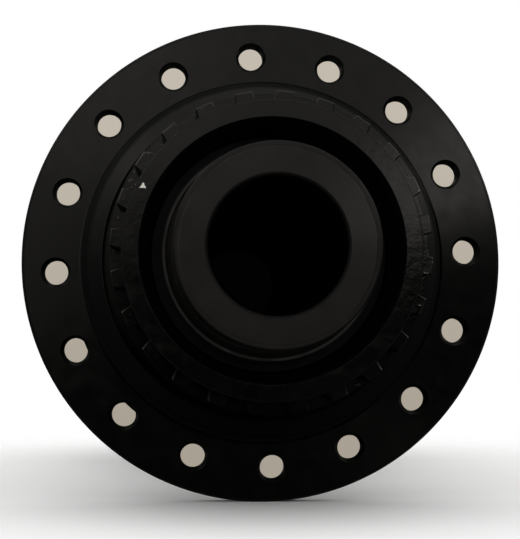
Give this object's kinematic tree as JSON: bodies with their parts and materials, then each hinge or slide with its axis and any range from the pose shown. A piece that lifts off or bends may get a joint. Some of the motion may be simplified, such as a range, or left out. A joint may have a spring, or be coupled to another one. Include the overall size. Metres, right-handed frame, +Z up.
{
  "type": "bicycle rear hub",
  "caption": "Bicycle rear hub for a through axle, with a splined disc-rotor mount, two drilled spoke flanges, a pawl freewheel and a splined cassette body.",
  "frame": {"origin": "middle of the axle, halfway between the two end-cap faces", "axes": "+Y along the axle towards the cassette (drive) side, -Y towards the disc rotor side, which faces the camera in the picture; +Z up; +X right in the picture"},
  "size_m": [0.053, 0.142, 0.053],
  "materials": {
    "shell_anodised": "black anodised, lathe-turned satin",
    "cap_anodised": "black anodised, satin",
    "axle_anodised": "black anodised, satin",
    "cassette_anodised": "hard anodised, dark grey satin",
    "spacer_aluminium": "turned, bare",
    "race_steel": "ground bearing steel",
    "ball_steel": "polished bearing steel",
    "cage_plastic": "moulded nylon",
    "seal_rubber": "moulded nitrile",
    "o_ring_rubber": "moulded nitrile",
    "ratchet_steel": "hardened, oiled",
    "spring_steel": "tempered strip"
  },
  "bodies": {
    "axle": {"axle_tube": "axle_anodised", "disc_end_cap": "cap_anodised", "drive_end_cap": "cap_anodised", "disc_cap_o_ring": "o_ring_rubber", "drive_cap_o_ring": "o_ring_rubber", "drive_side_spacer": "spacer_aluminium", "freehub_spacer": "spacer_aluminium", "disc_bearing_inner_race": "race_steel", "drive_bearing_inner_race": "race_steel", "freehub_inner_bearing_inner_race": "race_steel", "freehub_outer_bearing_inner_race": "race_steel"},
    "shell": {"hub_shell": "shell_anodised", "ratchet_ring": "ratchet_steel", "disc_bearing_outer_race": "race_steel", "drive_bearing_outer_race": "race_steel", "disc_bearing_disc_side_seal": "seal_rubber", "disc_bearing_drive_side_seal": "seal_rubber", "drive_bearing_disc_side_seal": "seal_rubber", "drive_bearing_drive_side_seal": "seal_rubber"},
    "cassette": {"cassette_body": "cassette_anodised", "freehub_inner_bearing_outer_race": "race_steel", "freehub_outer_bearing_outer_race": "race_steel", "freehub_lip_seal": "seal_rubber", "bearing_snap_ring": "spring_steel", "pawl_springs": "spring_steel", "freehub_inner_bearing_disc_side_seal": "seal_rubber", "freehub_inner_bearing_drive_side_seal": "seal_rubber", "freehub_outer_bearing_disc_side_seal": "seal_rubber", "freehub_outer_bearing_drive_side_seal": "seal_rubber"},
    "disc_bearing_ball_set": {"disc_bearing_balls": "ball_steel", "disc_bearing_cage": "cage_plastic"},
    "drive_bearing_ball_set": {"drive_bearing_balls": "ball_steel", "drive_bearing_cage": "cage_plastic"},
    "freehub_inner_bearing_ball_set": {"freehub_inner_bearing_balls": "ball_steel", "freehub_inner_bearing_cage": "cage_plastic"},
    "freehub_outer_bearing_ball_set": {"freehub_outer_bearing_balls": "ball_steel", "freehub_outer_bearing_cage": "cage_plastic"},
    "pawl_1_body": {"pawl_1": "ratchet_steel"},
    "pawl_2_body": {"pawl_2": "ratchet_steel"},
    "pawl_3_body": {"pawl_3": "ratchet_steel"}
  },
  "joints": [
    {"name": "shell_spin", "type": "hinge", "parent": "axle", "child": "shell", "pos_m": [0, 0, 0], "axis": [0, 1, 0], "continuous": true},
    {"name": "cassette_spin", "type": "hinge", "parent": "axle", "child": "cassette", "pos_m": [0, 0.049, 0], "axis": [0, 1, 0], "continuous": true},
    {"name": "disc_bearing_ball_orbit", "type": "hinge", "parent": "axle", "child": "disc_bearing_ball_set", "pos_m": [0, -0.0495, 0], "axis": [0, 1, 0], "continuous": true},
    {"name": "drive_bearing_ball_orbit", "type": "hinge", "parent": "axle", "child": "drive_bearing_ball_set", "pos_m": [0, 0.016, 0], "axis": [0, 1, 0], "continuous": true},
    {"name": "freehub_inner_bearing_ball_orbit", "type": "hinge", "parent": "axle", "child": "freehub_inner_bearing_ball_set", "pos_m": [0, 0.0326, 0], "axis": [0, 1, 0], "continuous": true},
    {"name": "freehub_outer_bearing_ball_orbit", "type": "hinge", "parent": "axle", "child": "freehub_outer_bearing_ball_set", "pos_m": [0, 0.0516, 0], "axis": [0, 1, 0], "continuous": true},
    {"name": "pawl_1_lift", "type": "hinge", "parent": "cassette", "child": "pawl_1_body", "pos_m": [0.00622, 0.02455, -0.01015], "axis": [0, 1, 0], "range_deg": [0, 9], "stiffness_Nm_per_rad": 0.006, "deforming": ["pawl_springs"]},
    {"name": "pawl_2_lift", "type": "hinge", "parent": "cassette", "child": "pawl_2_body", "pos_m": [-0.0119, 0.02455, -0.00031], "axis": [0, 1, 0], "range_deg": [0, 9], "stiffness_Nm_per_rad": 0.006},
    {"name": "pawl_3_lift", "type": "hinge", "parent": "cassette", "child": "pawl_3_body", "pos_m": [0.00568, 0.02455, 0.01046], "axis": [0, 1, 0], "range_deg": [0, 9], "stiffness_Nm_per_rad": 0.006}
  ],
  "couplings": [
    {"joint": "disc_bearing_ball_orbit", "follows": "shell_spin", "ratio": 0.56404},
    {"joint": "drive_bearing_ball_orbit", "follows": "shell_spin", "ratio": 0.59294},
    {"joint": "freehub_inner_bearing_ball_orbit", "follows": "cassette_spin", "ratio": 0.56404},
    {"joint": "freehub_outer_bearing_ball_orbit", "follows": "cassette_spin", "ratio": 0.59294},
    {"joint": "pawl_2_lift", "follows": "pawl_1_lift", "ratio": 1},
    {"joint": "pawl_3_lift", "follows": "pawl_1_lift", "ratio": 1}
  ]
}
